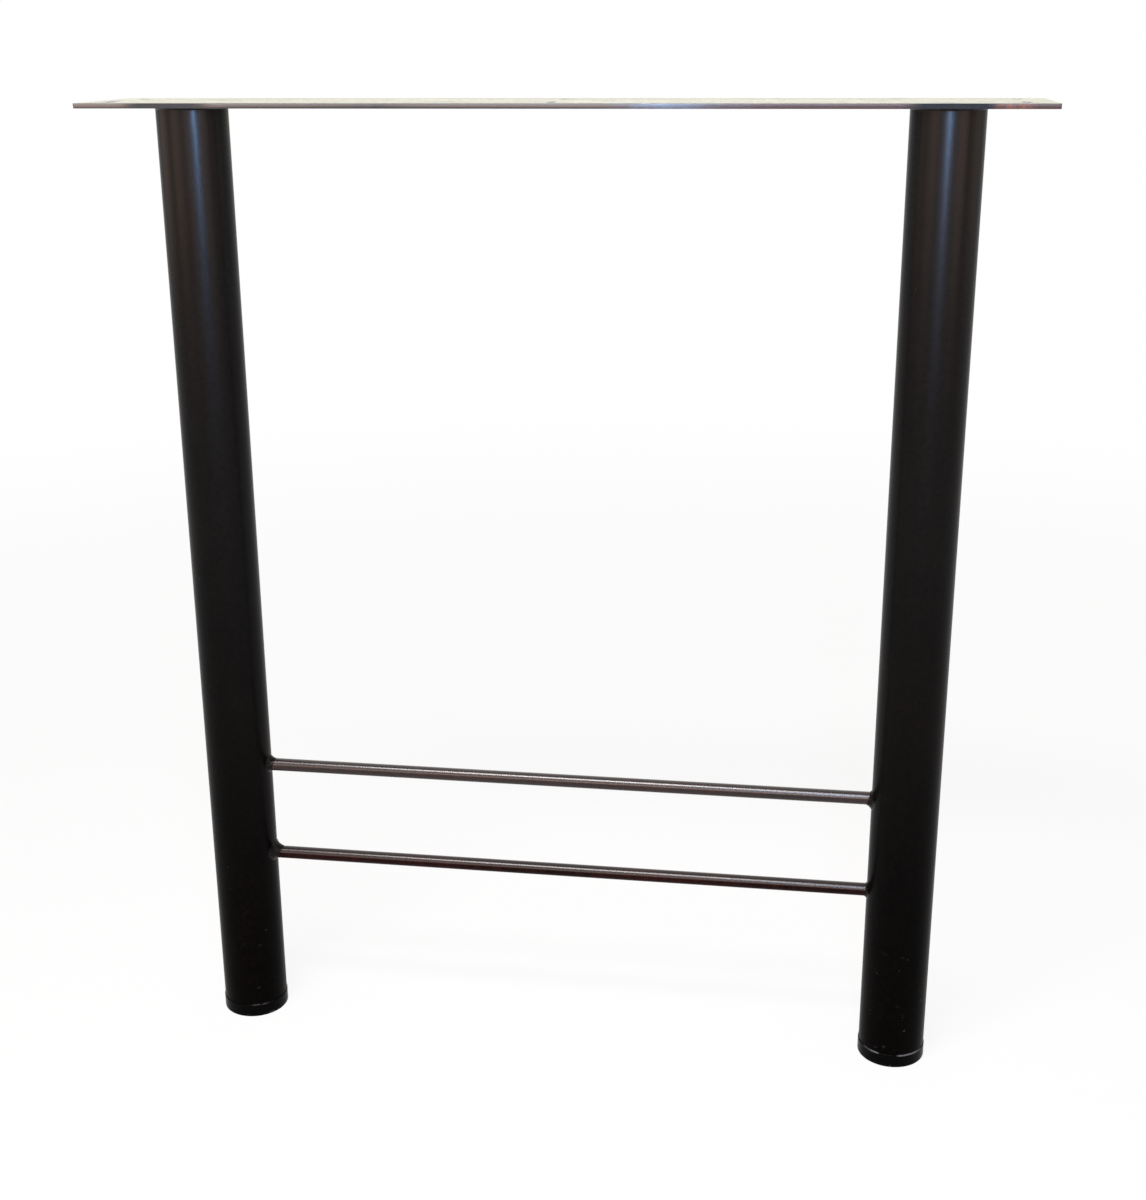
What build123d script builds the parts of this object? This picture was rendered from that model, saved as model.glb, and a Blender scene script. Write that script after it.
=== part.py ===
"""Welded table base: two round legs under a flat screw-down plate, tied near the floor by two round rods.

Millimetres. The origin is on the floor, midway between the legs. X runs along the plate, Y across it, Z up.
"""

import os

from build123d import *

os.makedirs("parts", exist_ok=True)

# Legs
tube_diameter = 50.8
tube_wall = 2.1
tube_length = 714.0
leg_spacing = 526.0

# Foot glides
foot_height = 11.0
foot_overhang = 0.5
foot_sole = 3.5
sole_bevel = 0.9
rim_bevel = 0.8
plug_wall = 2.4
plug_clearance = 0.1
plug_collar = 8.0
barb_count = 2
barb_height = 1.3
barb_pitch = 6.0

# Top plate and its screw holes
plate_length = 660.0
plate_width = 100.0
plate_thickness = 3.4
plate_corner = 2.0
screw_hole_diameter = 6.5
screw_columns = 3
screw_rows = 2
screw_end_inset = 20.0
screw_side_inset = 18.0
edge_break = 0.4

# Tie rods, by the height of their centre lines
rod_diameter = 10.0
upper_rod_height = 218.5
lower_rod_height = 141.0

# Weld beads: their reach along the rod, their spread over the leg, and how far they sag or heap up
plate_bead = 2.0
upper_left_reach = 3.4
upper_left_spread = 3.2
upper_left_rise = 1.1
lower_left_reach = 4.4
lower_left_spread = 5.6
lower_left_rise = 2.2
upper_right_reach = 2.8
upper_right_spread = 4.6
upper_right_rise = -1.4
lower_right_reach = 1.5
lower_right_spread = 2.8
lower_right_rise = -0.5

# Worked out from the sizes above
tube_radius = tube_diameter / 2
bore_radius = tube_radius - tube_wall
rod_radius = rod_diameter / 2
plate_underside = foot_height + tube_length
column_spacing = (plate_length - 2 * screw_end_inset) / (screw_columns - 1)
row_spacing = (plate_width - 2 * screw_side_inset) / (screw_rows - 1)
leg_places = {"left": -leg_spacing / 2, "right": leg_spacing / 2}

# Top plate, drilled for a screw near each corner and two at the middle
with BuildPart() as top_plate:
    with BuildSketch(Plane.XY.offset(plate_underside)):
        RectangleRounded(plate_length, plate_width, plate_corner)
    extrude(amount=plate_thickness)
    with BuildSketch(Plane.XY.offset(plate_underside)):
        with GridLocations(column_spacing, row_spacing, screw_columns, screw_rows):
            Circle(screw_hole_diameter / 2)
    extrude(amount=plate_thickness, mode=Mode.SUBTRACT)
    underside, upper_side = top_plate.faces().filter_by(Axis.Z).sort_by(Axis.Z)
    chamfer(underside.outer_wire().edges() + upper_side.outer_wire().edges(), edge_break)
top_plate.part.label = "top_plate"
export_step(top_plate.part, "parts/top_plate.step")

# Leg tubes, open inside, standing on the foot glides and butted to the plate
for side, leg_x in leg_places.items():
    with BuildPart() as leg_tube:
        with BuildSketch(Plane.XY.offset(foot_height)):
            with Locations((leg_x, 0)):
                Circle(tube_radius)
                Circle(bore_radius, mode=Mode.SUBTRACT)
        extrude(amount=tube_length)
        lower_end = leg_tube.faces().sort_by(Axis.Z)[0]
        chamfer(lower_end.edges(), edge_break)
    leg_tube.part.label = f"{side}_leg_tube"
    export_step(leg_tube.part, f"parts/{side}_leg_tube.step")

# Foot glides, each a cored sole with a barbed plug that grips the leg's bore
barb_radius = bore_radius - plug_clearance
plug_radius = barb_radius - barb_height
core_radius = plug_radius - plug_wall
foot_radius = tube_radius + foot_overhang
plug_top = foot_height + plug_collar + barb_count * barb_pitch
for side, leg_x in leg_places.items():
    with BuildPart() as foot_glide:
        with BuildSketch(Plane.XZ):
            with BuildLine():
                Polyline(
                    (leg_x, foot_sole),
                    (leg_x, 0),
                    (leg_x + foot_radius, 0),
                    (leg_x + foot_radius, foot_height),
                    (leg_x + plug_radius, foot_height),
                    (leg_x + plug_radius, plug_top),
                    (leg_x + core_radius, plug_top),
                    (leg_x + core_radius, foot_sole),
                    close=True,
                )
            make_face()
            for number in range(barb_count):
                barb_base = foot_height + plug_collar + number * barb_pitch
                with BuildLine():
                    Polyline(
                        (leg_x + plug_radius, barb_base),
                        (leg_x + barb_radius, barb_base),
                        (leg_x + plug_radius, barb_base + barb_pitch),
                        close=True,
                    )
                make_face()
        revolve(axis=Axis((leg_x, 0, 0), (0, 0, 1)))
        rims = foot_glide.edges().filter_by(GeomType.CIRCLE).filter_by(lambda rim: rim.radius > tube_radius)
        chamfer(rims.sort_by(Axis.Z)[0], sole_bevel)
        chamfer(rims.sort_by(Axis.Z)[-1], rim_bevel)
    foot_glide.part.label = f"{side}_foot_glide"
    export_step(foot_glide.part, f"parts/{side}_foot_glide.step")

# Tie rods, coped at both ends to sit on the round of the legs
for level, rod_height in {"upper": upper_rod_height, "lower": lower_rod_height}.items():
    with BuildPart() as tie_rod:
        with BuildSketch(Plane.YZ.offset(leg_places["left"])):
            with Locations((0, rod_height)):
                Circle(rod_radius)
        extrude(amount=leg_spacing)
        with BuildSketch(Plane.XY.offset(rod_height - rod_diameter)):
            with Locations((leg_places["left"], 0), (leg_places["right"], 0)):
                Circle(tube_radius)
        extrude(amount=2 * rod_diameter, mode=Mode.SUBTRACT)
    tie_rod.part.label = f"{level}_rod"
    export_step(tie_rod.part, f"parts/{level}_rod.step")

# Weld beads round the rods' ends, each a cone cut back to the round of the leg and of the rod.
# Beside the rod the leg falls away by a dip, and the cone is widened by as much to land there.
rod_welds = {
    "upper_left": (leg_places["left"], upper_rod_height, upper_left_reach, upper_left_spread, upper_left_rise),
    "lower_left": (leg_places["left"], lower_rod_height, lower_left_reach, lower_left_spread, lower_left_rise),
    "upper_right": (leg_places["right"], upper_rod_height, upper_right_reach, upper_right_spread, upper_right_rise),
    "lower_right": (leg_places["right"], lower_rod_height, lower_right_reach, lower_right_spread, lower_right_rise),
}
for joint, (leg_x, rod_height, reach, spread, rise) in rod_welds.items():
    toe_radius = rod_radius + spread
    dip = tube_radius - (tube_radius**2 - toe_radius**2) ** 0.5
    slope = spread / (reach + dip)
    root_radius = toe_radius + slope * dip
    tip_radius = rod_radius - abs(rise)
    cut_length = 4 * root_radius
    cone_length = (root_radius - tip_radius) / slope
    inward = 1 if leg_x < 0 else -1
    root_x = leg_x + inward * (tube_radius - 2 * dip)
    with BuildPart() as rod_weld:
        with Locations(Plane(origin=(root_x, 0, rod_height + rise), z_dir=(inward, 0, 0))):
            Cone(root_radius, tip_radius, cone_length, align=(Align.CENTER, Align.CENTER, Align.MIN))
        with Locations((leg_x, 0, rod_height)):
            Cylinder(tube_radius, cut_length, mode=Mode.SUBTRACT)
        with Locations(Plane(origin=(leg_x, 0, rod_height), z_dir=(inward, 0, 0))):
            Cylinder(rod_radius, leg_spacing, mode=Mode.SUBTRACT)
    rod_weld.part.label = f"{joint}_rod_weld"
    export_step(rod_weld.part, f"parts/{joint}_rod_weld.step")

# Weld beads round the tops of the legs, under the plate
for side, leg_x in leg_places.items():
    with BuildPart() as plate_weld:
        with BuildSketch(Plane.XZ):
            with BuildLine():
                Polyline(
                    (leg_x + tube_radius, plate_underside),
                    (leg_x + tube_radius + plate_bead, plate_underside),
                    (leg_x + tube_radius, plate_underside - plate_bead),
                    close=True,
                )
            make_face()
        revolve(axis=Axis((leg_x, 0, 0), (0, 0, 1)))
    plate_weld.part.label = f"{side}_plate_weld"
    export_step(plate_weld.part, f"parts/{side}_plate_weld.step")
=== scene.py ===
"""Dresses the h-shaped table base: coated steel legs, rods, plate and weld beads, on moulded foot glides.

Metres. The origin is on the floor, midway between the legs. X runs along the plate, Y across it and
away from the camera, Z up.
"""

import math

import bmesh
import bpy
from bpy.props import FloatProperty, FloatVectorProperty, IntProperty, PointerProperty
from bpy.types import Operator, Panel, PropertyGroup
from mathutils import Matrix, Vector


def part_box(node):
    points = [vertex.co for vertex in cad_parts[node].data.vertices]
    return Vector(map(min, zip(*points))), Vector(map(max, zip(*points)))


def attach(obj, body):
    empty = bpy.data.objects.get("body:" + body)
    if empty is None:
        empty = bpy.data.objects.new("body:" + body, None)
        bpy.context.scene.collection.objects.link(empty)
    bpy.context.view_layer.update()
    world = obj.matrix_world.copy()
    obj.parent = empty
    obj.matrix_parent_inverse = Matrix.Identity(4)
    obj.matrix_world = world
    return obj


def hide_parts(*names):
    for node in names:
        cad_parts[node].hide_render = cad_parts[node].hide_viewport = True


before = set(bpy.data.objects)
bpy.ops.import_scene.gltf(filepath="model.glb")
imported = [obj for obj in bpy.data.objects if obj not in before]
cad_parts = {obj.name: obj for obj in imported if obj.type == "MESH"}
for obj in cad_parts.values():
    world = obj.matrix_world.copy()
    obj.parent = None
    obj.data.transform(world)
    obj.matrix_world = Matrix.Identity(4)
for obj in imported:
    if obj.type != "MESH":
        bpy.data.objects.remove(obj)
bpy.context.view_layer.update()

bl_info = {
    "name": "H-Shaped Table Base",
    "version": (1, 0, 0),
    "blender": (4, 5, 0),
    "location": "3D View > Sidebar > Table Base",
    "description": "Builds and finishes the pieces of a welded table base",
    "category": "Add Mesh",
}

# Places read from the frame
left_leg_low, left_leg_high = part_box("left_leg_tube")
right_leg_low, right_leg_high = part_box("right_leg_tube")
plate_low, plate_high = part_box("top_plate")
upper_rod_low, upper_rod_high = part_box("upper_rod")
lower_rod_low, lower_rod_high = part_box("lower_rod")
LEG_PLACES = {
    "left": (left_leg_low.x + left_leg_high.x) / 2,
    "right": (right_leg_low.x + right_leg_high.x) / 2,
}
ROD_HEIGHTS = {
    "upper": (upper_rod_low.z + upper_rod_high.z) / 2,
    "lower": (lower_rod_low.z + lower_rod_high.z) / 2,
}

# Fineness of the meshes
TUBE_SEGMENTS = 192
GLIDE_SEGMENTS = 192
ROD_SEGMENTS = 96
FLOOR_SEGMENTS = 192
HOLE_SEGMENTS = 64
CORNER_SEGMENTS = 10
BEVEL_SEGMENTS = 4
BEVEL_ANGLE = math.radians(60)
MERGE_DISTANCE = 0.00001
ROUNDING_STEPS = 6
RIPPLE_SEGMENTS = 12
BEAD_STEPS = 10
CREASE_ANGLE = math.radians(28)

# Rounds in which the edge of a rod bead settles on the leg
TOE_ROUNDS = 20

# Where a bead's hidden root lies, as a share of the radius of the rod or the leg
ROD_ROOT = 0.98
LEG_ROOT = 0.999

# How steeply the ripples rise at a bead's edges; under 1 is steeper than a sine
RIPPLE_POWER = 0.7

# Height of a barb's crest, as a share of the barb's pitch
BARB_CREST = 1 / 12

# The plate's screw holes
SCREW_COLUMNS = 3
SCREW_ROWS = 2


def length(name, description, default):
    """A size in metres, for a panel."""
    return FloatProperty(
        name=name, description=description, default=default, min=0, precision=5, unit="LENGTH"
    )


def colour(name, description, default):
    """A colour, for a panel."""
    return FloatVectorProperty(
        name=name, description=description, default=default, size=3, min=0, max=1, subtype="COLOR"
    )


def factor(name, description, default):
    """A plain share, for a panel."""
    return FloatProperty(name=name, description=description, default=default, subtype="FACTOR")


def bearing(name, description, degrees):
    """An angle, for a panel."""
    return FloatProperty(
        name=name, description=description, default=math.radians(degrees), subtype="ANGLE"
    )


class LegSizes(PropertyGroup):
    """Sizes of the two leg tubes."""

    diameter: length("Tube Diameter", "Outside diameter of a leg", left_leg_high.x - left_leg_low.x)
    wall: length("Tube Wall", "Thickness of a leg's wall", 0.0021)
    foot_end: length("Lower End", "Height at which a leg tube starts", left_leg_low.z)
    plate_end: length("Upper End", "Height at which a leg tube meets the plate", left_leg_high.z)
    end_rounding: length("End Rounding", "Rounding of the tube's lower end", 0.0004)


class GlideSizes(PropertyGroup):
    """Sizes of the foot glides, whose plugs grip the legs' bores."""

    overhang: length("Overhang", "How far a glide stands out past the tube", 0.0005)
    sole: length("Sole Thickness", "Thickness under the glide's core", 0.0035)
    sole_rounding: length("Sole Rounding", "Rounding of the edge on the floor", 0.0009)
    rim_rounding: length("Rim Rounding", "Rounding of the edge under the tube", 0.0008)
    plug_wall: length("Plug Wall", "Thickness of the plug's wall", 0.0024)
    plug_clearance: length("Plug Clearance", "Gap between a barb's crest and the bore", 0.0001)
    plug_collar: length("Plug Collar", "Plain length of the plug below its barbs", 0.008)
    barb_count: IntProperty(name="Barb Count", description="Barbs round a plug", default=2, min=0)
    barb_height: length("Barb Height", "How far a barb stands out from the plug", 0.0013)
    barb_pitch: length("Barb Pitch", "Distance from one barb to the next", 0.006)


class PlateSizes(PropertyGroup):
    """Sizes of the top plate and its screw holes."""

    length: length("Plate Length", "Length along the table's end", plate_high.x - plate_low.x)
    width: length("Plate Width", "Width across the legs", plate_high.y - plate_low.y)
    thickness: length("Plate Thickness", "Thickness of the flat bar", plate_high.z - plate_low.z)
    underside: length("Plate Underside", "Height of the plate's lower face", plate_low.z)
    corner: length("Corner Radius", "Radius of the plate's corners", 0.002)
    edge_rounding: length("Edge Rounding", "Rounding of the plate's edges and hole mouths", 0.0006)
    hole_diameter: length("Hole Diameter", "Diameter of a screw hole", 0.0065)
    end_inset: length("End Inset", "From a hole's centre to the plate's end", 0.020)
    side_inset: length("Side Inset", "From a hole's centre to the plate's long edge", 0.018)


class RodSizes(PropertyGroup):
    """Sizes of the two tie rods."""

    diameter: length("Rod Diameter", "Diameter of a tie rod", upper_rod_high.z - upper_rod_low.z)
    upper_height: length("Upper Height", "Height of the upper rod's centre", ROD_HEIGHTS["upper"])
    lower_height: length("Lower Height", "Height of the lower rod's centre", ROD_HEIGHTS["lower"])


def bead(name, default):
    """The three sizes of a rod bead, for a panel."""
    words = "Reach along the rod, spread over the leg, and how far it heaps up (or sags) about the rod"
    return FloatVectorProperty(
        name=name, description=words, default=default, size=3, precision=5, unit="LENGTH"
    )


class WeldSizes(PropertyGroup):
    """Sizes of the weld beads and of the ripples along them."""

    upper_left: bead("Upper Left Bead", (0.0034, 0.0032, 0.0011))
    lower_left: bead("Lower Left Bead", (0.0044, 0.0056, 0.0022))
    upper_right: bead("Upper Right Bead", (0.0028, 0.0046, -0.0014))
    lower_right: bead("Lower Right Bead", (0.0015, 0.0028, -0.0005))
    plate_bead: length("Plate Bead", "Leg of the bead between a tube and the plate", 0.0020)
    hollow: factor("Hollow", "How hollow a bead is, for its width", 0.13)
    ripple_pitch: length("Ripple Pitch", "Distance from one ripple to the next", 0.0021)
    ripple_height: length("Ripple Height", "How far a ripple stands above its valleys", 0.00016)
    unevenness: factor("Unevenness", "How much the ripples vary", 0.55)
    seed: IntProperty(name="Seed", description="Chooses how the ripples vary", default=4, min=0)


class FinishColours(PropertyGroup):
    """Colours of the coating, the plastic and what has settled or worn on them."""

    coat: colour("Coating", "Satin black coating on the steel", (0.0004, 0.0003, 0.00026))
    coat_haze: colour("Coating Haze", "Paler clouding in the coating", (0.0022, 0.0015, 0.0012))
    rod_haze: colour("Rod Haze", "Browner clouding on the tie rods", (0.024, 0.005, 0.004))
    # Also the colour of the painted highlight along the top of the plate's near edge
    dust_and_highlight: colour("Dust", "Specks of dust and handling marks", (0.24, 0.22, 0.19))
    rust: colour("Rust", "Thin rust at the plate's right front end", (0.30, 0.085, 0.035))
    steel: colour("Worn Steel", "Scuffs that go through the coating", (0.26, 0.24, 0.22))
    plastic: colour("Glide Plastic", "Moulded plastic of the foot glides", (0.0009, 0.0008, 0.0008))
    # Also the colour of the painted highlight along the front of the glides' rim
    scuff_and_highlight: colour("Plastic Scuff", "Scuffed lower edge of the glides", (0.14, 0.15, 0.17))


class StageSizes(PropertyGroup):
    """Floor, room and camera."""

    floor: colour("Floor", "Plain pale floor", (0.92, 0.92, 0.92))
    floor_radius: length("Floor Radius", "Radius of the floor", 40.0)
    room_light: FloatProperty(
        name="Room Light", description="Brightness of the room on the object", default=0.33
    )
    background_share: factor("Background Share", "How much of the floor is plain white background", 0.87)
    camera_place: FloatVectorProperty(
        name="Camera Place",
        description="Where the camera stands",
        default=(0.18764, -1.19474, 0.77007),
        size=3,
        precision=5,
        subtype="TRANSLATION",
    )
    camera_turn: bearing("Camera Turn", "Turn from straight ahead, clockwise from above", -8.532)
    camera_dip: bearing("Camera Dip", "Tilt below the horizon", 18.423)
    camera_roll: bearing("Camera Roll", "Roll about the line of sight", -0.308)
    focal_length: FloatProperty(name="Focal Length", description="In millimetres", default=50.740)


class TableBase(PropertyGroup):
    """Every size and colour of the table base."""

    legs: PointerProperty(type=LegSizes)
    glides: PointerProperty(type=GlideSizes)
    plate: PointerProperty(type=PlateSizes)
    rods: PointerProperty(type=RodSizes)
    welds: PointerProperty(type=WeldSizes)
    colours: PointerProperty(type=FinishColours)
    stage: PointerProperty(type=StageSizes)


class Level:
    """A socket of a node tree, so that its maths reads as a plain expression."""

    def __init__(self, nodes, socket):
        self.nodes = nodes
        self.socket = socket

    def other(self, name):
        """Another output of the same node."""
        return Level(self.nodes, self.socket.node.outputs[name])

    def maths(self, operation, *terms):
        """A maths node over these terms, each a number or a level."""
        return self.nodes.add("ShaderNodeMath", {"operation": operation}, dict(enumerate(terms)))

    def __add__(self, term):
        return self.maths("ADD", self, term)

    __radd__ = __add__

    def __sub__(self, term):
        return self.maths("SUBTRACT", self, term)

    def __rsub__(self, term):
        return self.maths("SUBTRACT", term, self)

    def __mul__(self, term):
        return self.maths("MULTIPLY", self, term)

    __rmul__ = __mul__

    def __truediv__(self, term):
        return self.maths("DIVIDE", self, term)

    def __pow__(self, term):
        return self.maths("POWER", self, term)

    def __abs__(self):
        return self.maths("ABSOLUTE", self)

    def __lt__(self, term):
        return self.maths("LESS_THAN", self, term)

    def or_more(self, term):
        return self.maths("MAXIMUM", self, term)

    def wave(self):
        return self.maths("SINE", self)

    def rise(self, low, high):
        """0 at low and 1 at high, with an S-shaped slope between them."""
        sockets = {"Value": self, "From Min": low, "From Max": high}
        return self.nodes.add("ShaderNodeMapRange", {"interpolation_type": "SMOOTHSTEP"}, sockets)


class Nodes:
    """Adds nodes to one tree, each with its settings first and its sockets after them."""

    def __init__(self, tree):
        self.tree = tree

    def add(self, kind, settings=None, sockets=None, output=0):
        node = self.tree.nodes.new(kind)
        for name, value in (settings or {}).items():
            setattr(node, name, value)
        for name, value in (sockets or {}).items():
            for term in value if isinstance(value, list) else [value]:
                if isinstance(term, Level):
                    self.tree.links.new(term.socket, node.inputs[name])
                else:
                    node.inputs[name].default_value = term
        return Level(self, node.outputs[output]) if node.outputs else None

    def place(self):
        """The point's place in the object's own frame."""
        return self.add("ShaderNodeTexCoord", output="Object")

    def seen(self):
        """1 for what lenses, metal and glass see, and 0 for what only lights the scene."""
        path = self.add("ShaderNodeLightPath", output="Is Camera Ray")
        return path.or_more(path.other("Is Glossy Ray")).or_more(path.other("Is Transmission Ray"))

    def noise(self, place, scale, detail=2.0, roughness=0.5):
        sockets = {"Vector": place, "Scale": scale, "Detail": detail, "Roughness": roughness}
        return self.add("ShaderNodeTexNoise", {"normalize": True}, sockets)

    def stretched(self, place, scale):
        return self.add("ShaderNodeMapping", None, {"Vector": place, "Scale": scale})

    def blend(self, amount, first, second):
        """A colour between two, each a plain colour or a link."""
        first, second = (c if isinstance(c, Level) else (*c, 1) for c in (first, second))
        return self.add("ShaderNodeMix", {"data_type": "RGBA"}, {0: amount, 6: first, 7: second}, output=2)

    def specks(self, place, scale, size, share):
        """Round specks: one cell in so many holds one, of about this size for its cell."""
        cell = self.add("ShaderNodeTexVoronoi", None, {"Vector": place, "Scale": scale})
        chance = self.add("ShaderNodeSeparateColor", None, {"Color": cell.other("Color")})
        return (1 - cell.rise(size * 0.5, size)) * (chance < share)

    def scratches(self, place, scale, width):
        """Fine lines across a stretched noise, thin where the noise passes its middle."""
        streak = self.noise(self.stretched(place, scale), 1.0, 3.0, 0.6)
        return 1 - abs(streak - 0.5).rise(0.0, width)


def new_finish(name):
    """A material with an empty node tree."""
    material = bpy.data.materials.new(name)
    material.use_nodes = True
    material.node_tree.nodes.clear()
    return material, Nodes(material.node_tree)


def coat_finish(name, colours, haze, roughness, gloss, peel_height, painted_shade_gloss=None, foot_wear=0.0, plate=None):
    """Satin black coating: clouded, with an orange-peel skin, dust, handling marks and scuffs.

    A painted_shade_gloss is a clear shine of the third number's weight, coming in between its two heights:
    painted shade, so that the coating below them is duller and renders darker.
    A plate's sizes add dust and rust on its near edge, a painted highlight along the top of that edge,
    and a more matt underside.
    """
    material, nodes = new_finish(name)
    place = nodes.place()
    height = nodes.add("ShaderNodeSeparateXYZ", None, {"Vector": place}, output="Z")
    across = height.other("X")

    clouds = nodes.noise(place, 9.0, 4.0, 0.6)
    grain = nodes.noise(place, 1600.0, 2.0, 0.7)
    smudges = nodes.noise(nodes.stretched(place, (1.0, 1.0, 0.45)), 38.0, 3.0, 0.55).rise(0.56, 0.74)
    specks = nodes.specks(place, 170.0, 0.055, 0.06)
    fine_lines = nodes.scratches(place, (210.0, 210.0, 14.0), 0.012)
    fine_lines = fine_lines * nodes.noise(place, 21.0).rise(0.52, 0.66)

    mottle = nodes.noise(place, 230.0, 3.0, 0.6).rise(0.35, 0.70)
    base = nodes.blend(clouds.rise(0.35, 0.75) * 0.4 + mottle * 0.4 + grain * 0.2, colours.coat, haze)
    base = nodes.blend(smudges * 0.002 + fine_lines * 0.006, base, colours.dust_and_highlight)
    base = nodes.blend(specks * 0.55, base, colours.dust_and_highlight)
    matt = roughness + (clouds - 0.5) * 0.08 + (mottle - 0.5) * 0.06
    matt = matt + smudges * 0.06 - fine_lines * 0.05 + specks * 0.3

    if foot_wear:
        low = 1 - height.rise(0.012, 0.15)
        patches = nodes.noise(place, 95.0, 4.0, 0.65).rise(0.60, 0.72)
        rubs = nodes.scratches(place, (60.0, 60.0, 420.0), 0.020) * patches * low * foot_wear
        base = nodes.blend(rubs * 0.35, base, colours.steel)
        matt = matt + rubs * 0.15
    if plate:
        front_face = -plate.width / 2
        end = plate.length / 2
        top = plate.underside + plate.thickness
        front = 1 - height.other("Y").rise(front_face + 0.0001, front_face + 0.0010)
        rightward = across.rise(0.02, 0.16)
        past_legs = abs(abs(across) - LEG_PLACES["right"]).rise(0.018, 0.036)
        matt = matt + front * rightward.or_more((1 - past_legs) * 0.5) * 0.8
        matt = matt + (1 - height.rise(plate.underside + 0.0001, plate.underside + 0.0003)) * 0.42
        # Painted highlight: away from the legs, the top of the near edge is lightened with the dust colour as
        # if lit  from above; the whole near face there also gets a faint coat of the dust colour
        lit_edge_highlight = front * height.rise(top - 0.0022, top - 0.0003)
        base = nodes.blend(front * past_legs * 0.03 + lit_edge_highlight * past_legs * 0.18, base, colours.dust_and_highlight)
        base = nodes.blend(front * past_legs * rightward * 0.08, base, colours.rust)
        corner = across.rise(end - 0.044, end - 0.036) * (1 - across.rise(end - 0.024, end - 0.014))
        flakes = nodes.noise(place, 260.0, 4.0, 0.7).rise(0.38, 0.60)
        rust = corner * front * (flakes * 0.75 + 0.25)
        base = nodes.blend(rust * 0.20, base, colours.rust)

    peel = nodes.noise(place, 620.0, 1.5, 0.5)
    skin = nodes.noise(place, 90.0, 2.0, 0.5)
    relief = peel * 0.6 + grain * 0.12 + skin * 0.9 + specks * 1.5
    bump = nodes.add("ShaderNodeBump", None, {"Strength": 1.0, "Distance": peel_height, "Height": relief})
    sockets = {"Base Color": base, "Roughness": matt, "Specular IOR Level": gloss, "Normal": bump}
    # Painted shade: the coat's shine fades out below the given heights, so lower parts render darker
    if painted_shade_gloss:
        shaded_height, lit_height, weight = painted_shade_gloss
        sockets["Coat Weight"] = height.rise(shaded_height, lit_height) * weight
        sockets["Coat Roughness"] = roughness
    surface = nodes.add("ShaderNodeBsdfPrincipled", None, sockets)
    nodes.add("ShaderNodeOutputMaterial", None, {"Surface": surface})
    return material


def plastic_finish(name, colours, sole_height, rim_height):
    """Black moulded plastic: satin, finely grained and scuffed pale along the sole, with a painted highlight
    along the front of the rim.
    """
    material, nodes = new_finish(name)
    place = nodes.place()
    height = nodes.add("ShaderNodeSeparateXYZ", None, {"Vector": place}, output="Z")

    grain = nodes.noise(place, 2100.0, 2.0, 0.6)
    flow = nodes.noise(nodes.stretched(place, (1.0, 1.0, 3.0)), 42.0, 3.0, 0.5)
    low = 1 - height.rise(sole_height * 0.5, sole_height * 3.2)
    chips = nodes.noise(nodes.stretched(place, (1.0, 1.0, 1.8)), 330.0, 4.0, 0.7).rise(0.52, 0.64)
    patches = nodes.noise(place, 48.0).rise(0.46, 0.58)
    scuffs = low * chips * patches
    hairlines = nodes.scratches(place, (70.0, 70.0, 900.0), 0.014)
    hairlines = hairlines * nodes.noise(place, 60.0).rise(0.50, 0.66)

    # Painted highlight: pale arcs along the front of the rim, where its rounded edge would catch the light
    front = (0 - height.other("Y")).rise(0.008, 0.020)
    rim = height.rise(rim_height - 0.0012, rim_height - 0.0006)
    rim_highlight = rim * front * nodes.noise(place, 61.0).rise(0.46, 0.60)

    base = nodes.blend(scuffs * 0.75 + hairlines * 0.02 + rim_highlight * 0.75, colours.plastic, colours.scuff_and_highlight)
    matt = 0.18 + flow * 0.08 + scuffs * 0.35 + grain * 0.04
    relief = grain * 0.5 + flow * 0.4 - scuffs * 1.4 - hairlines * 0.4
    bump = nodes.add("ShaderNodeBump", None, {"Strength": 1.0, "Distance": 0.00004, "Height": relief})
    surface = nodes.add(
        "ShaderNodeBsdfPrincipled",
        None,
        {"Base Color": base, "Roughness": matt, "Specular IOR Level": 0.03, "Normal": bump},
    )
    nodes.add("ShaderNodeOutputMaterial", None, {"Surface": surface})
    return material


def floor_finish(name, floor, share):
    """Plain pale floor that lenses, metal and glass see partly as plain white, with the shadow kept."""
    material, nodes = new_finish(name)
    away = nodes.add("ShaderNodeVectorMath", {"operation": "LENGTH"}, {0: nodes.place()}, output="Value")
    share = share + away.rise(0.6, 2.6) * (1 - share)
    matt = nodes.add("ShaderNodeBsdfDiffuse", None, {"Color": (*floor, 1)})
    white = nodes.add("ShaderNodeEmission", None, {"Color": (1, 1, 1, 1), "Strength": 1.0})
    mixed = nodes.add("ShaderNodeMixShader", None, {0: nodes.seen() * share, 1: matt, 2: white})
    nodes.add("ShaderNodeOutputMaterial", None, {"Surface": mixed})
    return material


def eased(corners):
    """A closed profile with its corners rounded; each corner is (radius, height, rounding)."""
    profile = []
    for index, (across, up, rounding) in enumerate(corners):
        corner = Vector((across, up))
        if rounding == 0:
            profile.append(corner)
            continue
        before = (Vector(corners[index - 1][:2]) - corner).normalized()
        after = (Vector(corners[(index + 1) % len(corners)][:2]) - corner).normalized()
        half = before.angle(after) / 2
        cut = rounding / math.tan(half)
        centre = corner + (before + after).normalized() * rounding / math.sin(half)
        first = corner + before * cut - centre
        last = corner + after * cut - centre
        profile.append(corner + before * (cut + rounding / 2))
        for step in range(ROUNDING_STEPS + 1):
            share = step / ROUNDING_STEPS
            profile.append(centre + (first * (1 - share) + last * share).normalized() * rounding)
        profile.append(corner + after * (cut + rounding / 2))
    return profile


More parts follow.
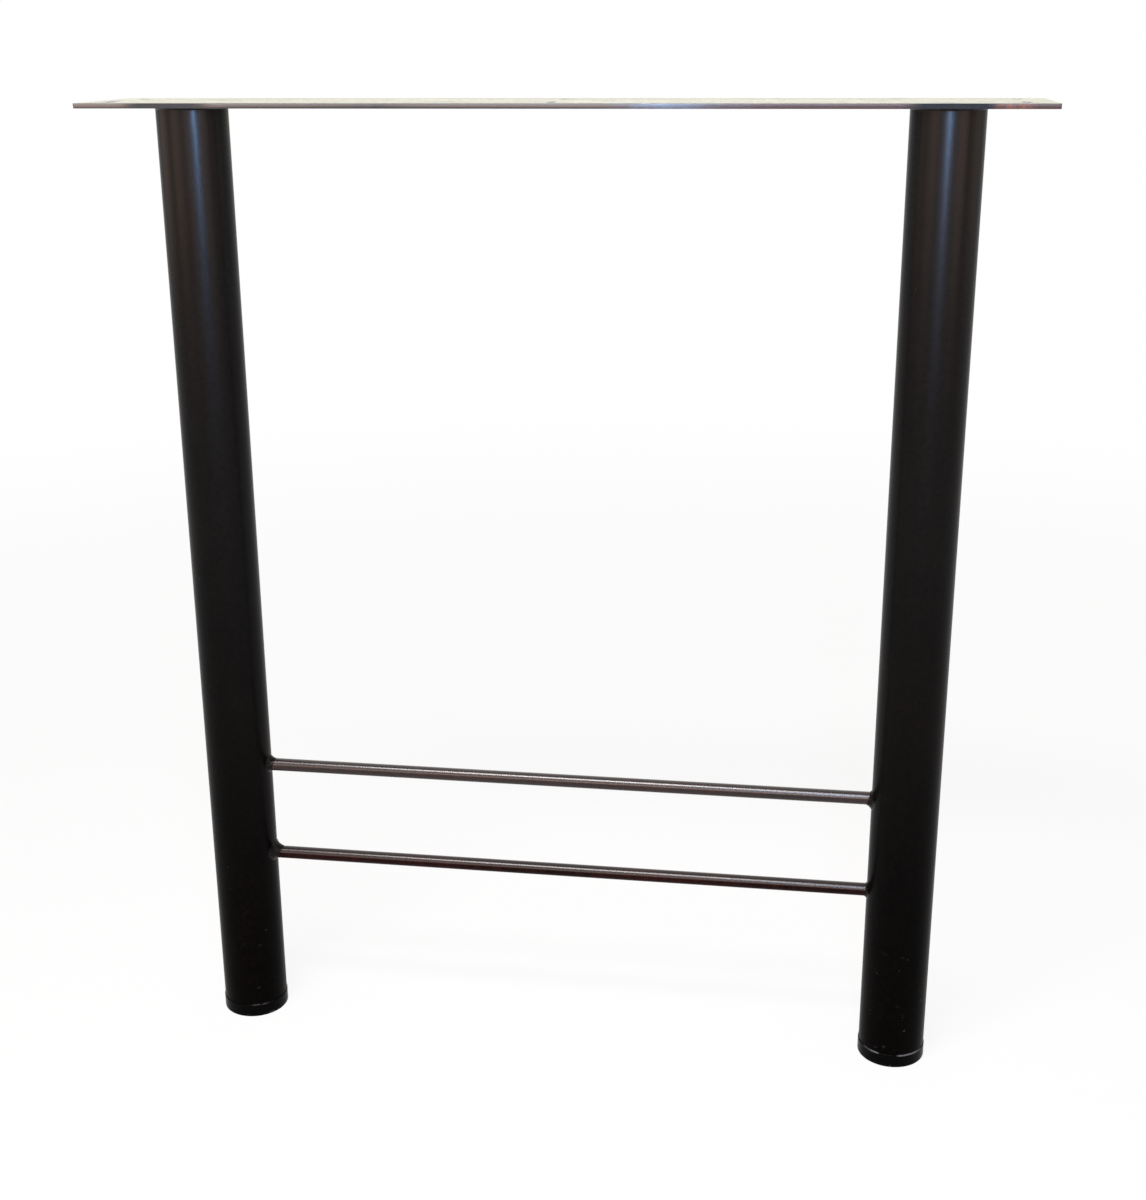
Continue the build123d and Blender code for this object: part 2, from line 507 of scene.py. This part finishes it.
def skinned(name, rings, closed=True):
    """A mesh over a run of rings; a ring of one point is a pole, and a closed run comes back to its start."""
    shell = bmesh.new()
    made = [[shell.verts.new(point) for point in ring] for ring in rings]
    count = max(len(ring) for ring in made)
    pairs = zip(made, made[1:] + made[:1]) if closed else zip(made, made[1:])
    for ring, after in pairs:
        for index in range(count):
            turn = (index + 1) % count
            corners = [
                ring[index % len(ring)],
                ring[turn % len(ring)],
                after[turn % len(after)],
                after[index % len(after)],
            ]
            corners = list(dict.fromkeys(corners))
            if len(corners) > 2:
                shell.faces.new(corners)
    bmesh.ops.recalc_face_normals(shell, faces=shell.faces)
    mesh = bpy.data.meshes.new(name)
    shell.to_mesh(mesh)
    shell.free()
    return mesh


def turned(name, profile, leg_x, segments):
    """A mesh turned about the upright line through a leg's centre."""
    rings = []
    for radius, height in profile:
        if radius == 0:
            rings.append([(leg_x, 0, height)])
            continue
        angles = (math.tau * step / segments for step in range(segments))
        rings.append([(leg_x + radius * math.cos(a), radius * math.sin(a), height) for a in angles])
    return skinned(name, rings)


def new_tree(name, inputs):
    """A Geometry Nodes tree with these named inputs, each (name, socket type, default)."""
    tree = bpy.data.node_groups.new(name, "GeometryNodeTree")
    tree.is_modifier = True
    tree.interface.new_socket("Geometry", in_out="INPUT", socket_type="NodeSocketGeometry")
    for label, kind, default in inputs:
        socket = tree.interface.new_socket(label, in_out="INPUT", socket_type=kind)
        if default is not None:
            socket.default_value = default
    tree.interface.new_socket("Geometry", in_out="OUTPUT", socket_type="NodeSocketGeometry")
    nodes = Nodes(tree)
    return tree, nodes, nodes.add("NodeGroupInput", output="Geometry")


def end_tree(nodes, given, shape):
    """Ends a tree in Realize Instances and Set Material."""
    whole = nodes.add("GeometryNodeRealizeInstances", None, {"Geometry": shape})
    sockets = {"Geometry": whole, "Material": given.other("Finish")}
    painted = nodes.add("GeometryNodeSetMaterial", None, sockets)
    nodes.add("NodeGroupOutput", None, {"Geometry": painted})


def worked(mesh, tree, values, rounding=0.0):
    """The plain mesh that a tree makes of this one, with its inputs set to these values."""
    blank = bpy.data.objects.new(f"{mesh.name}_blank", mesh)
    bpy.context.scene.collection.objects.link(blank)
    modifier = blank.modifiers.new(tree.name, "NODES")
    modifier.node_group = tree
    for item in tree.interface.items_tree:
        if item.in_out == "INPUT" and item.name in values:
            modifier[item.identifier] = values[item.name]
    if rounding:
        bevel = blank.modifiers.new("edge_rounding", "BEVEL")
        bevel.width = rounding
        bevel.segments = BEVEL_SEGMENTS
        bevel.limit_method = "ANGLE"
        bevel.angle_limit = BEVEL_ANGLE
    bpy.context.view_layer.update()
    graph = bpy.context.evaluated_depsgraph_get()
    made = bpy.data.meshes.new_from_object(blank.evaluated_get(graph))
    made.name = f"{mesh.name}_made"
    blank.modifiers.clear()
    bpy.data.objects.remove(blank)
    bpy.data.meshes.remove(mesh)
    return made


def plate_tree():
    """Flat bar with rounded corners, drilled on a grid."""
    tree, nodes, given = new_tree(
        "drilled_plate",
        [
            ("Length", "NodeSocketFloat", 0.66),
            ("Width", "NodeSocketFloat", 0.10),
            ("Thickness", "NodeSocketFloat", 0.0034),
            ("Underside", "NodeSocketFloat", 0.725),
            ("Corner Radius", "NodeSocketFloat", 0.002),
            ("Hole Diameter", "NodeSocketFloat", 0.0065),
            ("End Inset", "NodeSocketFloat", 0.020),
            ("Side Inset", "NodeSocketFloat", 0.018),
            ("Finish", "NodeSocketMaterial", None),
        ],
    )
    outline = nodes.add(
        "GeometryNodeCurvePrimitiveQuadrilateral",
        {"mode": "RECTANGLE"},
        {"Width": given.other("Length"), "Height": given.other("Width")},
    )
    outline = nodes.add(
        "GeometryNodeFilletCurve",
        {"mode": "POLY"},
        {"Curve": outline, "Count": CORNER_SEGMENTS, "Radius": given.other("Corner Radius")},
    )
    centres = nodes.add(
        "GeometryNodeMeshGrid",
        None,
        {
            "Size X": given.other("Length") - 2 * given.other("End Inset"),
            "Size Y": given.other("Width") - 2 * given.other("Side Inset"),
            "Vertices X": SCREW_COLUMNS,
            "Vertices Y": SCREW_ROWS,
        },
    )
    mouth = nodes.add(
        "GeometryNodeCurvePrimitiveCircle",
        {"mode": "RADIUS"},
        {"Resolution": HOLE_SEGMENTS, "Radius": given.other("Hole Diameter") / 2},
    )
    holes = nodes.add("GeometryNodeInstanceOnPoints", None, {"Points": centres, "Instance": mouth})
    holes = nodes.add("GeometryNodeRealizeInstances", None, {"Geometry": holes})
    cut = nodes.add("GeometryNodeJoinGeometry", None, {"Geometry": [outline, holes]})
    face = nodes.add("GeometryNodeFillCurve", {"mode": "TRIANGLES"}, {"Curve": cut})
    up = nodes.add("ShaderNodeCombineXYZ", None, {"Z": given.other("Underside")})
    face = nodes.add("GeometryNodeTransform", None, {"Geometry": face, "Translation": up})
    bar = nodes.add(
        "GeometryNodeExtrudeMesh",
        {"mode": "FACES"},
        {"Mesh": face, "Offset Scale": given.other("Thickness"), "Individual": False},
    )
    under = nodes.add("GeometryNodeFlipFaces", None, {"Mesh": face})
    bar = nodes.add("GeometryNodeJoinGeometry", None, {"Geometry": [bar, under]})
    bar = nodes.add("GeometryNodeMergeByDistance", None, {"Geometry": bar, "Distance": MERGE_DISTANCE})
    end_tree(nodes, given, bar)
    return tree


def ripple_tree():
    """Raises the crescent ripples of a hand-laid weld along a plain bead."""
    tree, nodes, given = new_tree(
        "weld_ripples",
        [
            ("Ripple Count", "NodeSocketInt", 20),
            ("Ripple Height", "NodeSocketFloat", 0.0003),
            ("Unevenness", "NodeSocketFloat", 0.5),
            ("Seed", "NodeSocketInt", 1),
            ("Finish", "NodeSocketMaterial", None),
        ],
    )

    def carried(name):
        return nodes.add("GeometryNodeInputNamedAttribute", {"data_type": "FLOAT"}, {"Name": name})

    uneven = given.other("Unevenness")
    where = nodes.add("GeometryNodeInputPosition")

    def wander(scale, step):
        sockets = {"Vector": where, "W": given.other("Seed") + step, "Scale": scale, "Detail": 1.0}
        return (nodes.add("ShaderNodeTexNoise", {"noise_dimensions": "4D"}, sockets) - 0.5) * uneven

    bow = (carried("bead_across") * 2 - 1) ** 2 * 0.55
    phase = carried("bead_turn") * given.other("Ripple Count") + bow + wander(160.0, 0.0) * 1.6
    ripple = abs((phase * math.pi).wave())
    lift = ripple - 0.35 + wander(420.0, 7.0) * 1.5 + wander(130.0, 13.0) * 2.6
    lift = lift * given.other("Ripple Height") * carried("bead_crown")
    push = nodes.add(
        "ShaderNodeVectorMath",
        {"operation": "SCALE"},
        {0: nodes.add("GeometryNodeInputNormal"), "Scale": lift},
    )
    shape = nodes.add("GeometryNodeSetPosition", None, {"Geometry": given, "Offset": push})
    for name in ("bead_turn", "bead_across", "bead_crown"):
        shape = nodes.add("GeometryNodeRemoveAttribute", None, {"Geometry": shape, "Name": name})
    end_tree(nodes, given, shape)
    return tree


def rod_bead_sections(leg_x, rod_height, sizes, base):
    """Cross-sections of a bead round a rod's end, each from the rod to the leg, then the root."""
    reach, spread, rise = sizes
    leg_radius = base.legs.diameter / 2
    rod_radius = base.rods.diameter / 2
    inward = 1 if leg_x < 0 else -1

    def dip(beside):
        return leg_radius - math.sqrt(leg_radius**2 - beside**2)

    slope = spread / (reach + dip(rod_radius + spread))
    around = math.tau * (rod_radius + spread / 2)
    ripples = round(around / base.welds.ripple_pitch)
    sections = []
    for step in range(ripples * RIPPLE_SEGMENTS):
        angle = math.tau * step / (ripples * RIPPLE_SEGMENTS)
        side, up = math.cos(angle), math.sin(angle)
        toe = rod_radius + spread
        for _ in range(TOE_ROUNDS):
            toe = rod_radius + rise * up + slope * (reach + dip(toe * side))
        start = Vector((rod_radius, reach + rise * up / slope))
        finish = Vector((toe, -dip(toe * side)))
        root = Vector((rod_radius * ROD_ROOT, -dip(rod_radius * side)))
        sections.append([
            Vector((leg_x + inward * (leg_radius + along), out * side, rod_height + out * up))
            for out, along in hollowed(start, finish, base.welds.hollow) + [root]
        ])
    return sections, ripples


def plate_bead_sections(leg_x, base):
    """Cross-sections of a bead under the plate, each from the leg to the plate, then the root."""
    leg_radius = base.legs.diameter / 2
    top = base.plate.underside
    size = base.welds.plate_bead
    ripples = round(math.tau * (leg_radius + size / 2) / base.welds.ripple_pitch)
    start = Vector((leg_radius, top - size))
    finish = Vector((leg_radius + size, top))
    run = hollowed(start, finish, base.welds.hollow / 2) + [Vector((leg_radius * LEG_ROOT, top))]
    sections = []
    for step in range(ripples * RIPPLE_SEGMENTS):
        angle = math.tau * step / (ripples * RIPPLE_SEGMENTS)
        sections.append([
            Vector((leg_x + out * math.cos(angle), out * math.sin(angle), height)) for out, height in run
        ])
    return sections, ripples


def hollowed(start, finish, hollow):
    """Points from start to finish along the hollow face of a bead."""
    chord = finish - start
    outward = Vector((chord.y, -chord.x)) if chord.y > 0 else Vector((-chord.y, chord.x))
    points = []
    for step in range(BEAD_STEPS + 1):
        share = step / BEAD_STEPS
        points.append(start + chord * share + outward * -hollow * math.sin(math.pi * share))
    return points


def bead_mesh(name, sections):
    """A closed plain bead that carries what its ripples follow: turn, place across and share of height."""
    mesh = skinned(name, sections)
    turns = [step / len(sections) for step in range(len(sections)) for _ in sections[0]]
    shares = [*(step / BEAD_STEPS for step in range(BEAD_STEPS + 1)), 0.0]
    rises = (math.sin(math.pi * step / BEAD_STEPS) ** RIPPLE_POWER for step in range(BEAD_STEPS))
    crowns = [*rises, 0.0, 0.0]
    for label, values in (
        ("bead_turn", turns),
        ("bead_across", shares * len(sections)),
        ("bead_crown", crowns * len(sections)),
    ):
        mesh.attributes.new(label, "FLOAT", "POINT").data.foreach_set("value", values)
    return mesh


def coped_rod_mesh(name, height, base):
    """A round rod whose ends are cut to the round of the legs."""
    leg_radius = base.legs.diameter / 2
    rod_radius = base.rods.diameter / 2
    left, right = LEG_PLACES["left"], LEG_PLACES["right"]
    support = rod_radius / 2
    rings = [[], [], [], []]
    for step in range(ROD_SEGMENTS):
        angle = math.tau * step / ROD_SEGMENTS
        side, up = rod_radius * math.cos(angle), height + rod_radius * math.sin(angle)
        stand_off = math.sqrt(leg_radius**2 - side**2)
        ends = left + stand_off, right - stand_off
        for ring, along in zip(rings, (ends[0], ends[0] + support, ends[1] - support, ends[1])):
            ring.append((along, side, up))
    poles = [(left + leg_radius, 0, height)], [(right - leg_radius, 0, height)]
    return skinned(name, [poles[0], *rings, poles[1]], closed=False)


def add_piece(name, mesh, finish, slot, *nodes):
    """Puts a finished mesh in the scene in place of its CAD nodes."""
    mesh.name = name
    mesh.materials.clear()
    mesh.materials.append(finish)
    mesh.shade_smooth()
    mesh.set_sharp_from_angle(angle=CREASE_ANGLE)
    piece = bpy.data.objects.new(name, mesh)
    bpy.context.scene.collection.objects.link(piece)
    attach(piece, "root")
    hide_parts(*nodes)


def lamp(name, place, aim, width, height, brightness, tint=(1.0, 1.0, 1.0), spread=180):
    """A soft flat lamp that the camera doesn't see; at a brightness of 1 its face would look white.

    A spread under 180 degrees keeps its light to where it is aimed, as a grid over it does.
    """
    data = bpy.data.lights.new(name, "AREA")
    data.shape = "RECTANGLE"
    data.size = width
    data.size_y = height
    data.energy = brightness * math.pi * width * height
    data.color = tint
    data.spread = math.radians(spread)
    light = bpy.data.objects.new(name, data)
    light.location = place
    light.rotation_mode = "QUATERNION"
    light.rotation_quaternion = (Vector(aim) - Vector(place)).to_track_quat("-Z", "Y")
    light.visible_camera = False
    bpy.context.scene.collection.objects.link(light)


class TABLE_BASE_OT_plate(Operator):
    """Add the drilled top plate"""

    bl_idname = "table_base.plate"
    bl_label = "Top Plate"

    def execute(self, context):
        base = context.scene.table_base
        sizes = base.plate
        finish = coat_finish(
            "plate_coat",
            base.colours,
            base.colours.coat_haze,
            roughness=0.13,
            gloss=0.40,
            peel_height=0.000006,
            plate=sizes,
        )
        values = {
            "Length": sizes.length,
            "Width": sizes.width,
            "Thickness": sizes.thickness,
            "Underside": sizes.underside,
            "Corner Radius": sizes.corner,
            "Hole Diameter": sizes.hole_diameter,
            "End Inset": sizes.end_inset,
            "Side Inset": sizes.side_inset,
            "Finish": finish,
        }
        mesh = worked(bpy.data.meshes.new("plate"), plate_tree(), values, sizes.edge_rounding)
        if not mesh.polygons:
            raise RuntimeError("the plate came out empty")
        add_piece("plate", mesh, finish, "black_paint", "top_plate")
        return {"FINISHED"}


class TABLE_BASE_OT_legs(Operator):
    """Add the two leg tubes"""

    bl_idname = "table_base.legs"
    bl_label = "Leg Tubes"

    def execute(self, context):
        base = context.scene.table_base
        sizes = base.legs
        outer = sizes.diameter / 2
        bore = outer - sizes.wall
        profile = eased([
            (outer, sizes.foot_end, sizes.end_rounding),
            (outer, sizes.plate_end, 0),
            (bore, sizes.plate_end, 0),
            (bore, sizes.foot_end, sizes.end_rounding),
        ])
        finish = coat_finish(
            "leg_coat",
            base.colours,
            base.colours.coat_haze,
            roughness=0.29,
            gloss=0.02,
            peel_height=0.000060,
            # Painted shade: the shine fades out towards the feet, so the lower legs render darker
            painted_shade_gloss=(0.02, 0.46, 0.14),
            foot_wear=1.0,
        )
        for side, leg_x in LEG_PLACES.items():
            mesh = turned(f"{side}_leg", profile, leg_x, TUBE_SEGMENTS)
            add_piece(f"{side}_leg", mesh, finish, "black_paint", f"{side}_leg_tube")
        return {"FINISHED"}


class TABLE_BASE_OT_glides(Operator):
    """Add the barbed foot glides"""

    bl_idname = "table_base.glides"
    bl_label = "Foot Glides"

    def execute(self, context):
        base = context.scene.table_base
        sizes = base.glides
        leg_radius = base.legs.diameter / 2
        rim = base.legs.foot_end
        foot = leg_radius + sizes.overhang
        barb = leg_radius - base.legs.wall - sizes.plug_clearance
        plug = barb - sizes.barb_height
        core = plug - sizes.plug_wall
        first_barb = rim + sizes.plug_collar
        plug_end = first_barb + sizes.barb_count * sizes.barb_pitch
        corners = [
            (0, sizes.sole, 0),
            (0, 0, 0),
            (foot, 0, sizes.sole_rounding),
            (foot, rim, sizes.rim_rounding),
            (plug, rim, 0),
        ]
        for number in range(sizes.barb_count):
            start = first_barb + number * sizes.barb_pitch
            crest = start + sizes.barb_pitch * BARB_CREST
            corners += [(plug, start, 0), (barb, start, 0), (barb, crest, 0)]
        corners += [(plug, plug_end, 0), (core, plug_end, 0), (core, sizes.sole, 0)]
        finish = plastic_finish("glide_plastic", base.colours, sizes.sole_rounding, rim)
        for side, leg_x in LEG_PLACES.items():
            mesh = turned(f"{side}_glide", eased(corners), leg_x, GLIDE_SEGMENTS)
            add_piece(f"{side}_glide", mesh, finish, "black_plastic", f"{side}_foot_glide")
        return {"FINISHED"}


class TABLE_BASE_OT_rods(Operator):
    """Add the two coped tie rods"""

    bl_idname = "table_base.rods"
    bl_label = "Tie Rods"

    def execute(self, context):
        base = context.scene.table_base
        # Painted shade: each rod's clear shine comes in just above its middle, so its underside renders
        # darker;  the lower rod's much lower gloss makes its underside darker still
        for level, height, gloss, painted_top_shine in (
            ("upper", base.rods.upper_height, 0.42, 0.70),
            ("lower", base.rods.lower_height, 0.06, 0.90),
        ):
            finish = coat_finish(
                f"{level}_rod_coat",
                base.colours,
                base.colours.rod_haze,
                roughness=0.26,
                gloss=gloss,
                peel_height=0.000007,
                painted_shade_gloss=(height + 0.0008, height + 0.0026, painted_top_shine),
            )
            mesh = coped_rod_mesh(f"{level}_tie", height, base)
            add_piece(f"{level}_tie", mesh, finish, "black_paint", f"{level}_rod")
        return {"FINISHED"}


class TABLE_BASE_OT_welds(Operator):
    """Add the rippled weld beads round the rods' ends and under the plate"""

    bl_idname = "table_base.welds"
    bl_label = "Weld Beads"

    def execute(self, context):
        base = context.scene.table_base
        sizes = base.welds
        heights = {"upper": base.rods.upper_height, "lower": base.rods.lower_height}
        finish = coat_finish(
            "weld_coat",
            base.colours,
            base.colours.coat_haze,
            roughness=0.24,
            gloss=0.12,
            peel_height=0.000016,
        )
        tree = ripple_tree()
        beads = {}
        for side, leg_x in LEG_PLACES.items():
            for level, height in heights.items():
                joint = f"{level}_{side}"
                beads[f"{joint}_rod"] = rod_bead_sections(leg_x, height, getattr(sizes, joint), base)
            beads[f"{side}_plate"] = plate_bead_sections(leg_x, base)
        for number, (joint, (sections, ripples)) in enumerate(beads.items()):
            values = {
                "Ripple Count": ripples,
                "Ripple Height": sizes.ripple_height,
                "Unevenness": sizes.unevenness,
                "Seed": sizes.seed + number,
                "Finish": finish,
            }
            mesh = worked(bead_mesh(f"{joint}_bead", sections), tree, values)
            add_piece(f"{joint}_bead", mesh, finish, "black_paint", f"{joint}_weld")
        return {"FINISHED"}


class TABLE_BASE_OT_stage(Operator):
    """Add the floor, the soft lamps, the room and the camera"""

    bl_idname = "table_base.stage"
    bl_label = "Floor, Light and Camera"

    def execute(self, context):
        scene = context.scene
        sizes = scene.table_base.stage
        radius = sizes.floor_radius
        angles = [math.tau * step / FLOOR_SEGMENTS for step in range(FLOOR_SEGMENTS)]
        rim = [(radius * math.cos(a), radius * math.sin(a), 0) for a in angles]
        mesh = bpy.data.meshes.new("floor")
        mesh.from_pydata(rim, [], [range(FLOOR_SEGMENTS)])
        mesh.materials.append(floor_finish("pale_floor", sizes.floor, sizes.background_share))
        floor = bpy.data.objects.new("floor", mesh)
        scene.collection.objects.link(floor)

        lamp(
            "overhead_lamp", (-0.25, -0.95, 2.0), (0.0, 0.0, 0.40),
            width=0.9, height=0.30, brightness=38.0, tint=(1.0, 0.95, 0.94),
        )
        lamp(
            "window_strip", (0.310, -1.287, 0.90), (0.0, 0.0, 1.0),
            width=0.06, height=0.30, brightness=185.0, tint=(0.30, 0.56, 1.0), spread=60,
        )
        lamp(
            "window_pane", (0.310, -1.30, 1.45), (0.25, 0.0, 0.18),
            width=0.14, height=0.60, brightness=7.0, tint=(0.62, 0.72, 1.0), spread=90,
        )
        ring_radius, ring_height = 1.9, 0.72
        for name, azimuth, brightness in (
            ("left_lamp", -82, 0.61),
            ("front_left_lamp", -40, 1.25),
            ("front_lamp", 2, 1.25),
            ("front_right_lamp", 44, 1.25),
            ("right_lamp", 90, 0.41),
        ):
            turn = math.radians(azimuth)
            place = (ring_radius * math.sin(turn), -ring_radius * math.cos(turn), ring_height)
            lamp(
                name, place, (0.0, 0.0, ring_height),
                width=1.4, height=0.5, brightness=brightness, tint=(1.0, 0.68, 0.53), spread=75,
            )
        lamp(
            "far_lamp", (0.0, 3.0, 0.86), (0.0, 0.0, 0.75),
            width=5.0, height=0.6, brightness=0.25, tint=(1.0, 0.90, 0.15),
        )

        room = bpy.data.worlds.new("room")
        room.use_nodes = True
        room.node_tree.nodes.clear()
        nodes = Nodes(room.node_tree)
        level = nodes.seen() * (1 - sizes.room_light) + sizes.room_light
        light = nodes.add("ShaderNodeBackground", None, {"Color": (1, 1, 1, 1), "Strength": level})
        nodes.add("ShaderNodeOutputWorld", None, {"Surface": light})
        scene.world = room

        turn, dip, roll = sizes.camera_turn, sizes.camera_dip, sizes.camera_roll
        ahead = Vector((math.sin(turn) * math.cos(dip), math.cos(turn) * math.cos(dip), -math.sin(dip)))
        level_right = Vector((math.cos(turn), -math.sin(turn), 0))
        level_up = level_right.cross(ahead)
        right = math.cos(roll) * level_right + math.sin(roll) * level_up
        up = -math.sin(roll) * level_right + math.cos(roll) * level_up
        data = bpy.data.cameras.new("camera")
        data.sensor_fit = "AUTO"
        data.sensor_width = 36
        data.lens = sizes.focal_length
        camera = bpy.data.objects.new("camera", data)
        axes = Matrix((right, up, -ahead)).transposed().to_4x4()
        camera.matrix_world = Matrix.Translation(sizes.camera_place) @ axes
        scene.collection.objects.link(camera)
        scene.camera = camera
        scene.view_settings.view_transform = "Standard"
        return {"FINISHED"}


class TABLE_BASE_PT_pieces(Panel):
    """The table base's pieces and sizes"""

    bl_idname = "TABLE_BASE_PT_pieces"
    bl_label = "Table Base"
    bl_space_type = "VIEW_3D"
    bl_region_type = "UI"
    bl_category = "Table Base"

    def draw(self, context):
        base = context.scene.table_base
        for operator, group in STEPS:
            box = self.layout.box()
            box.operator(operator.bl_idname)
            sizes = getattr(base, group)
            for name in sizes.__annotations__:
                box.prop(sizes, name)
        box = self.layout.box()
        for name in base.colours.__annotations__:
            box.prop(base.colours, name)


STEPS = (
    (TABLE_BASE_OT_stage, "stage"),
    (TABLE_BASE_OT_plate, "plate"),
    (TABLE_BASE_OT_legs, "legs"),
    (TABLE_BASE_OT_glides, "glides"),
    (TABLE_BASE_OT_rods, "rods"),
    (TABLE_BASE_OT_welds, "welds"),
)
SIZES = (LegSizes, GlideSizes, PlateSizes, RodSizes, WeldSizes, FinishColours, StageSizes, TableBase)
CLASSES = (*SIZES, *(operator for operator, _ in STEPS), TABLE_BASE_PT_pieces)


def register():
    for kind in CLASSES:
        bpy.utils.register_class(kind)
    bpy.types.Scene.table_base = PointerProperty(type=TableBase)


def unregister():
    del bpy.types.Scene.table_base
    for kind in reversed(CLASSES):
        bpy.utils.unregister_class(kind)


def main():
    """Makes the pieces and the stage."""
    register()
    bpy.ops.table_base.stage()
    bpy.ops.table_base.plate()
    bpy.ops.table_base.legs()
    bpy.ops.table_base.glides()
    bpy.ops.table_base.rods()
    bpy.ops.table_base.welds()


if __name__ == "__main__":
    main()
